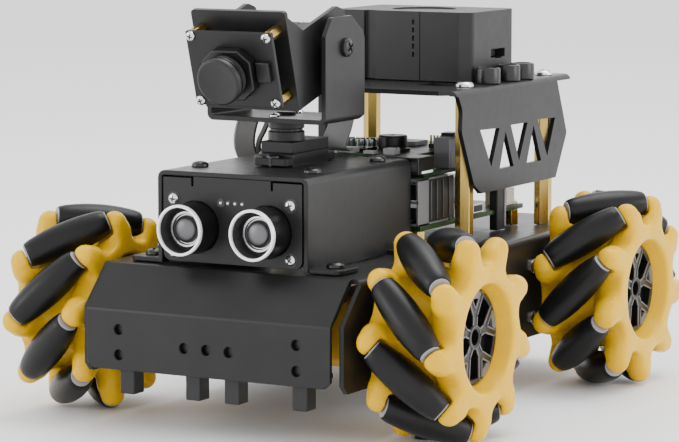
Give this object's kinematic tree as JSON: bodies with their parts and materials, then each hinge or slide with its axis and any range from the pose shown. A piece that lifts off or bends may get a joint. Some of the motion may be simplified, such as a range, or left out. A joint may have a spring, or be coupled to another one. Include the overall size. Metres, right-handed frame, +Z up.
{
  "type": "mecanum wheel robot",
  "caption": "Wheeled robot on mecanum wheels, with a sonar housing, a pan and tilt camera head and a raised deck carrying a battery case.",
  "frame": {"origin": "centre of the bounding box on the ground plane, under the wheels", "axes": "-Y is the way the robot drives and looks, +Z is up, +X is to the right when it is seen from the front"},
  "size_m": [0.1604, 0.1929, 0.1313],
  "materials": {
    "black_powder_coat": "satin black powder coat on aluminium sheet",
    "black_plastic": "moulded black plastic",
    "case_plastic": "fine-textured black ABS",
    "roller_rubber": "satin black rubber",
    "yellow_plastic": "satin yellow moulded plastic",
    "yellow_gearbox": "matt yellow moulded plastic",
    "brass": "turned brass",
    "circuit_board": "green solder mask"
  },
  "bodies": {
    "chassis": {"chassis_frame": "black_powder_coat", "gear_motor_front_left": "yellow_gearbox", "gear_motor_front_right": "yellow_gearbox", "gear_motor_rear_left": "yellow_gearbox", "gear_motor_rear_right": "yellow_gearbox", "sensor_cover": "black_powder_coat", "sonar_module": "black_plastic", "line_sensor_board": "black_plastic", "pan_servo": "black_plastic", "standoff_front_left": "brass", "standoff_front_right": "brass", "standoff_rear_left": "brass", "standoff_rear_right": "brass", "deck_plate": "black_powder_coat", "battery_case": "case_plastic", "control_board": "circuit_board"},
    "pan_yoke": {"pan_yoke": "black_powder_coat"},
    "camera_head": {"camera_bracket": "black_powder_coat", "tilt_servo": "black_plastic", "camera_module": "black_plastic"},
    "wheel_front_left": {"wheel_front_left": "yellow_plastic"},
    "wheel_front_right": {"wheel_front_right": "yellow_plastic"},
    "wheel_rear_left": {"wheel_rear_left": "yellow_plastic"},
    "wheel_rear_right": {"wheel_rear_right": "yellow_plastic"},
    "roller_front_left_1": {"roller_front_left_1": "roller_rubber"},
    "roller_front_left_2": {"roller_front_left_2": "roller_rubber"},
    "roller_front_left_3": {"roller_front_left_3": "roller_rubber"},
    "roller_front_left_4": {"roller_front_left_4": "roller_rubber"},
    "roller_front_left_5": {"roller_front_left_5": "roller_rubber"},
    "roller_front_left_6": {"roller_front_left_6": "roller_rubber"},
    "roller_front_left_7": {"roller_front_left_7": "roller_rubber"},
    "roller_front_left_8": {"roller_front_left_8": "roller_rubber"},
    "roller_front_left_9": {"roller_front_left_9": "roller_rubber"},
    "roller_front_right_1": {"roller_front_right_1": "roller_rubber"},
    "roller_front_right_2": {"roller_front_right_2": "roller_rubber"},
    "roller_front_right_3": {"roller_front_right_3": "roller_rubber"},
    "roller_front_right_4": {"roller_front_right_4": "roller_rubber"},
    "roller_front_right_5": {"roller_front_right_5": "roller_rubber"},
    "roller_front_right_6": {"roller_front_right_6": "roller_rubber"},
    "roller_front_right_7": {"roller_front_right_7": "roller_rubber"},
    "roller_front_right_8": {"roller_front_right_8": "roller_rubber"},
    "roller_front_right_9": {"roller_front_right_9": "roller_rubber"},
    "roller_rear_left_1": {"roller_rear_left_1": "roller_rubber"},
    "roller_rear_left_2": {"roller_rear_left_2": "roller_rubber"},
    "roller_rear_left_3": {"roller_rear_left_3": "roller_rubber"},
    "roller_rear_left_4": {"roller_rear_left_4": "roller_rubber"},
    "roller_rear_left_5": {"roller_rear_left_5": "roller_rubber"},
    "roller_rear_left_6": {"roller_rear_left_6": "roller_rubber"},
    "roller_rear_left_7": {"roller_rear_left_7": "roller_rubber"},
    "roller_rear_left_8": {"roller_rear_left_8": "roller_rubber"},
    "roller_rear_left_9": {"roller_rear_left_9": "roller_rubber"},
    "roller_rear_right_1": {"roller_rear_right_1": "roller_rubber"},
    "roller_rear_right_2": {"roller_rear_right_2": "roller_rubber"},
    "roller_rear_right_3": {"roller_rear_right_3": "roller_rubber"},
    "roller_rear_right_4": {"roller_rear_right_4": "roller_rubber"},
    "roller_rear_right_5": {"roller_rear_right_5": "roller_rubber"},
    "roller_rear_right_6": {"roller_rear_right_6": "roller_rubber"},
    "roller_rear_right_7": {"roller_rear_right_7": "roller_rubber"},
    "roller_rear_right_8": {"roller_rear_right_8": "roller_rubber"},
    "roller_rear_right_9": {"roller_rear_right_9": "roller_rubber"}
  },
  "joints": [
    {"name": "pan", "type": "hinge", "parent": "chassis", "child": "pan_yoke", "pos_m": [0, -0.0469, 0.0951], "axis": [0, 0, 1], "range_deg": [-90, 90]},
    {"name": "tilt", "type": "hinge", "parent": "pan_yoke", "child": "camera_head", "pos_m": [0, -0.0469, 0.1186], "axis": [1, 0, 0], "range_deg": [-75, 12]},
    {"name": "wheel_front_left_spin", "type": "hinge", "parent": "chassis", "child": "wheel_front_left", "pos_m": [-0.0645, -0.06155, 0.0329], "axis": [1, 0, 0], "continuous": true},
    {"name": "wheel_front_right_spin", "type": "hinge", "parent": "chassis", "child": "wheel_front_right", "pos_m": [0.0645, -0.06155, 0.0329], "axis": [1, 0, 0], "continuous": true},
    {"name": "wheel_rear_left_spin", "type": "hinge", "parent": "chassis", "child": "wheel_rear_left", "pos_m": [-0.0645, 0.05905, 0.0329], "axis": [1, 0, 0], "continuous": true},
    {"name": "wheel_rear_right_spin", "type": "hinge", "parent": "chassis", "child": "wheel_rear_right", "pos_m": [0.0645, 0.05905, 0.0329], "axis": [1, 0, 0], "continuous": true},
    {"name": "roller_front_left_1_spin", "type": "hinge", "parent": "wheel_front_left", "child": "roller_front_left_1", "pos_m": [-0.0645, -0.08753, 0.04159], "axis": [-0.7071, -0.2244, -0.6706], "continuous": true},
    {"name": "roller_front_left_2_spin", "type": "hinge", "parent": "wheel_front_left", "child": "roller_front_left_2", "pos_m": [-0.0645, -0.07587, 0.05626], "axis": [-0.7071, -0.6029, -0.3695], "continuous": true},
    {"name": "roller_front_left_3_spin", "type": "hinge", "parent": "wheel_front_left", "child": "roller_front_left_3", "pos_m": [-0.0645, -0.0575, 0.06], "axis": [-0.7071, -0.6993, 0.1045], "continuous": true},
    {"name": "roller_front_left_4_spin", "type": "hinge", "parent": "wheel_front_left", "child": "roller_front_left_4", "pos_m": [-0.0645, -0.04103, 0.05106], "axis": [-0.7071, -0.4685, 0.5296], "continuous": true},
    {"name": "roller_front_left_5_spin", "type": "hinge", "parent": "wheel_front_left", "child": "roller_front_left_5", "pos_m": [-0.0645, -0.03416, 0.03362], "axis": [-0.7071, -0.0185, 0.7069], "continuous": true},
    {"name": "roller_front_left_6_spin", "type": "hinge", "parent": "wheel_front_left", "child": "roller_front_left_6", "pos_m": [-0.0645, -0.04011, 0.01584], "axis": [-0.7071, 0.4402, 0.5534], "continuous": true},
    {"name": "roller_front_left_7_spin", "type": "hinge", "parent": "wheel_front_left", "child": "roller_front_left_7", "pos_m": [-0.0645, -0.05609, 0.00605], "axis": [-0.7071, 0.6929, 0.141], "continuous": true},
    {"name": "roller_front_left_8_spin", "type": "hinge", "parent": "wheel_front_left", "child": "roller_front_left_8", "pos_m": [-0.0645, -0.07462, 0.00882], "axis": [-0.7071, 0.6214, -0.3374], "continuous": true},
    {"name": "roller_front_left_9_spin", "type": "hinge", "parent": "wheel_front_left", "child": "roller_front_left_9", "pos_m": [-0.0645, -0.08704, 0.02286], "axis": [-0.7071, 0.2592, -0.6579], "continuous": true},
    {"name": "roller_front_right_1_spin", "type": "hinge", "parent": "wheel_front_right", "child": "roller_front_right_1", "pos_m": [0.0645, -0.08768, 0.04114], "axis": [0.7071, -0.2126, -0.6744], "continuous": true},
    {"name": "roller_front_right_2_spin", "type": "hinge", "parent": "wheel_front_right", "child": "roller_front_right_2", "pos_m": [0.0645, -0.07627, 0.05601], "axis": [0.7071, -0.5964, -0.3799], "continuous": true},
    {"name": "roller_front_right_3_spin", "type": "hinge", "parent": "wheel_front_right", "child": "roller_front_right_3", "pos_m": [0.0645, -0.05797, 0.06007], "axis": [0.7071, -0.7011, 0.0923], "continuous": true},
    {"name": "roller_front_right_4_spin", "type": "hinge", "parent": "wheel_front_right", "child": "roller_front_right_4", "pos_m": [0.0645, -0.04135, 0.05141], "axis": [0.7071, -0.4777, 0.5213], "continuous": true},
    {"name": "roller_front_right_5_spin", "type": "hinge", "parent": "wheel_front_right", "child": "roller_front_right_5", "pos_m": [0.0645, -0.03418, 0.0341], "axis": [0.7071, -0.0308, 0.7064], "continuous": true},
    {"name": "roller_front_right_6_spin", "type": "hinge", "parent": "wheel_front_right", "child": "roller_front_right_6", "pos_m": [0.0645, -0.03981, 0.01622], "axis": [0.7071, 0.4305, 0.561], "continuous": true},
    {"name": "roller_front_right_7_spin", "type": "hinge", "parent": "wheel_front_right", "child": "roller_front_right_7", "pos_m": [0.0645, -0.05562, 0.00615], "axis": [0.7071, 0.6903, 0.153], "continuous": true},
    {"name": "roller_front_right_8_spin", "type": "hinge", "parent": "wheel_front_right", "child": "roller_front_right_8", "pos_m": [0.0645, -0.0742, 0.0086], "axis": [0.7071, 0.6272, -0.3265], "continuous": true},
    {"name": "roller_front_right_9_spin", "type": "hinge", "parent": "wheel_front_right", "child": "roller_front_right_9", "pos_m": [0.0645, -0.08686, 0.02241], "axis": [0.7071, 0.2706, -0.6533], "continuous": true},
    {"name": "roller_rear_left_1_spin", "type": "hinge", "parent": "wheel_rear_left", "child": "roller_rear_left_1", "pos_m": [-0.0645, 0.03307, 0.04159], "axis": [-0.7071, 0.2244, 0.6706], "continuous": true},
    {"name": "roller_rear_left_2_spin", "type": "hinge", "parent": "wheel_rear_left", "child": "roller_rear_left_2", "pos_m": [-0.0645, 0.04473, 0.05626], "axis": [-0.7071, 0.6029, 0.3695], "continuous": true},
    {"name": "roller_rear_left_3_spin", "type": "hinge", "parent": "wheel_rear_left", "child": "roller_rear_left_3", "pos_m": [-0.0645, 0.0631, 0.06], "axis": [-0.7071, 0.6993, -0.1045], "continuous": true},
    {"name": "roller_rear_left_4_spin", "type": "hinge", "parent": "wheel_rear_left", "child": "roller_rear_left_4", "pos_m": [-0.0645, 0.07957, 0.05106], "axis": [-0.7071, 0.4685, -0.5296], "continuous": true},
    {"name": "roller_rear_left_5_spin", "type": "hinge", "parent": "wheel_rear_left", "child": "roller_rear_left_5", "pos_m": [-0.0645, 0.08644, 0.03362], "axis": [-0.7071, 0.0185, -0.7069], "continuous": true},
    {"name": "roller_rear_left_6_spin", "type": "hinge", "parent": "wheel_rear_left", "child": "roller_rear_left_6", "pos_m": [-0.0645, 0.08049, 0.01584], "axis": [-0.7071, -0.4402, -0.5534], "continuous": true},
    {"name": "roller_rear_left_7_spin", "type": "hinge", "parent": "wheel_rear_left", "child": "roller_rear_left_7", "pos_m": [-0.0645, 0.06451, 0.00605], "axis": [-0.7071, -0.6929, -0.141], "continuous": true},
    {"name": "roller_rear_left_8_spin", "type": "hinge", "parent": "wheel_rear_left", "child": "roller_rear_left_8", "pos_m": [-0.0645, 0.04598, 0.00882], "axis": [-0.7071, -0.6214, 0.3374], "continuous": true},
    {"name": "roller_rear_left_9_spin", "type": "hinge", "parent": "wheel_rear_left", "child": "roller_rear_left_9", "pos_m": [-0.0645, 0.03356, 0.02286], "axis": [-0.7071, -0.2592, 0.6579], "continuous": true},
    {"name": "roller_rear_right_1_spin", "type": "hinge", "parent": "wheel_rear_right", "child": "roller_rear_right_1", "pos_m": [0.0645, 0.03171, 0.03467], "axis": [0.7071, 0.0456, 0.7056], "continuous": true},
    {"name": "roller_rear_right_2_spin", "type": "hinge", "parent": "wheel_rear_right", "child": "roller_rear_right_2", "pos_m": [0.0645, 0.03924, 0.05183], "axis": [0.7071, 0.4885, 0.5112], "continuous": true},
    {"name": "roller_rear_right_3_spin", "type": "hinge", "parent": "wheel_rear_right", "child": "roller_rear_right_3", "pos_m": [0.0645, 0.05604, 0.06013], "axis": [0.7071, 0.7028, 0.0776], "continuous": true},
    {"name": "roller_rear_right_4_spin", "type": "hinge", "parent": "wheel_rear_right", "child": "roller_rear_right_4", "pos_m": [0.0645, 0.07425, 0.0557], "axis": [0.7071, 0.5883, -0.3923], "continuous": true},
    {"name": "roller_rear_right_5_spin", "type": "hinge", "parent": "wheel_rear_right", "child": "roller_rear_right_5", "pos_m": [0.0645, 0.08535, 0.04059], "axis": [0.7071, 0.1985, -0.6787], "continuous": true},
    {"name": "roller_rear_right_6_spin", "type": "hinge", "parent": "wheel_rear_right", "child": "roller_rear_right_6", "pos_m": [0.0645, 0.08414, 0.02189], "axis": [0.7071, -0.2842, -0.6475], "continuous": true},
    {"name": "roller_rear_right_7_spin", "type": "hinge", "parent": "wheel_rear_right", "child": "roller_rear_right_7", "pos_m": [0.0645, 0.07119, 0.00834], "axis": [0.7071, -0.6339, -0.3133], "continuous": true},
    {"name": "roller_rear_right_8_spin", "type": "hinge", "parent": "wheel_rear_right", "child": "roller_rear_right_8", "pos_m": [0.0645, 0.05256, 0.00628], "axis": [0.7071, -0.687, 0.1675], "continuous": true},
    {"name": "roller_rear_right_9_spin", "type": "hinge", "parent": "wheel_rear_right", "child": "roller_rear_right_9", "pos_m": [0.0645, 0.03697, 0.01668], "axis": [0.7071, -0.4186, 0.5699], "continuous": true}
  ]
}
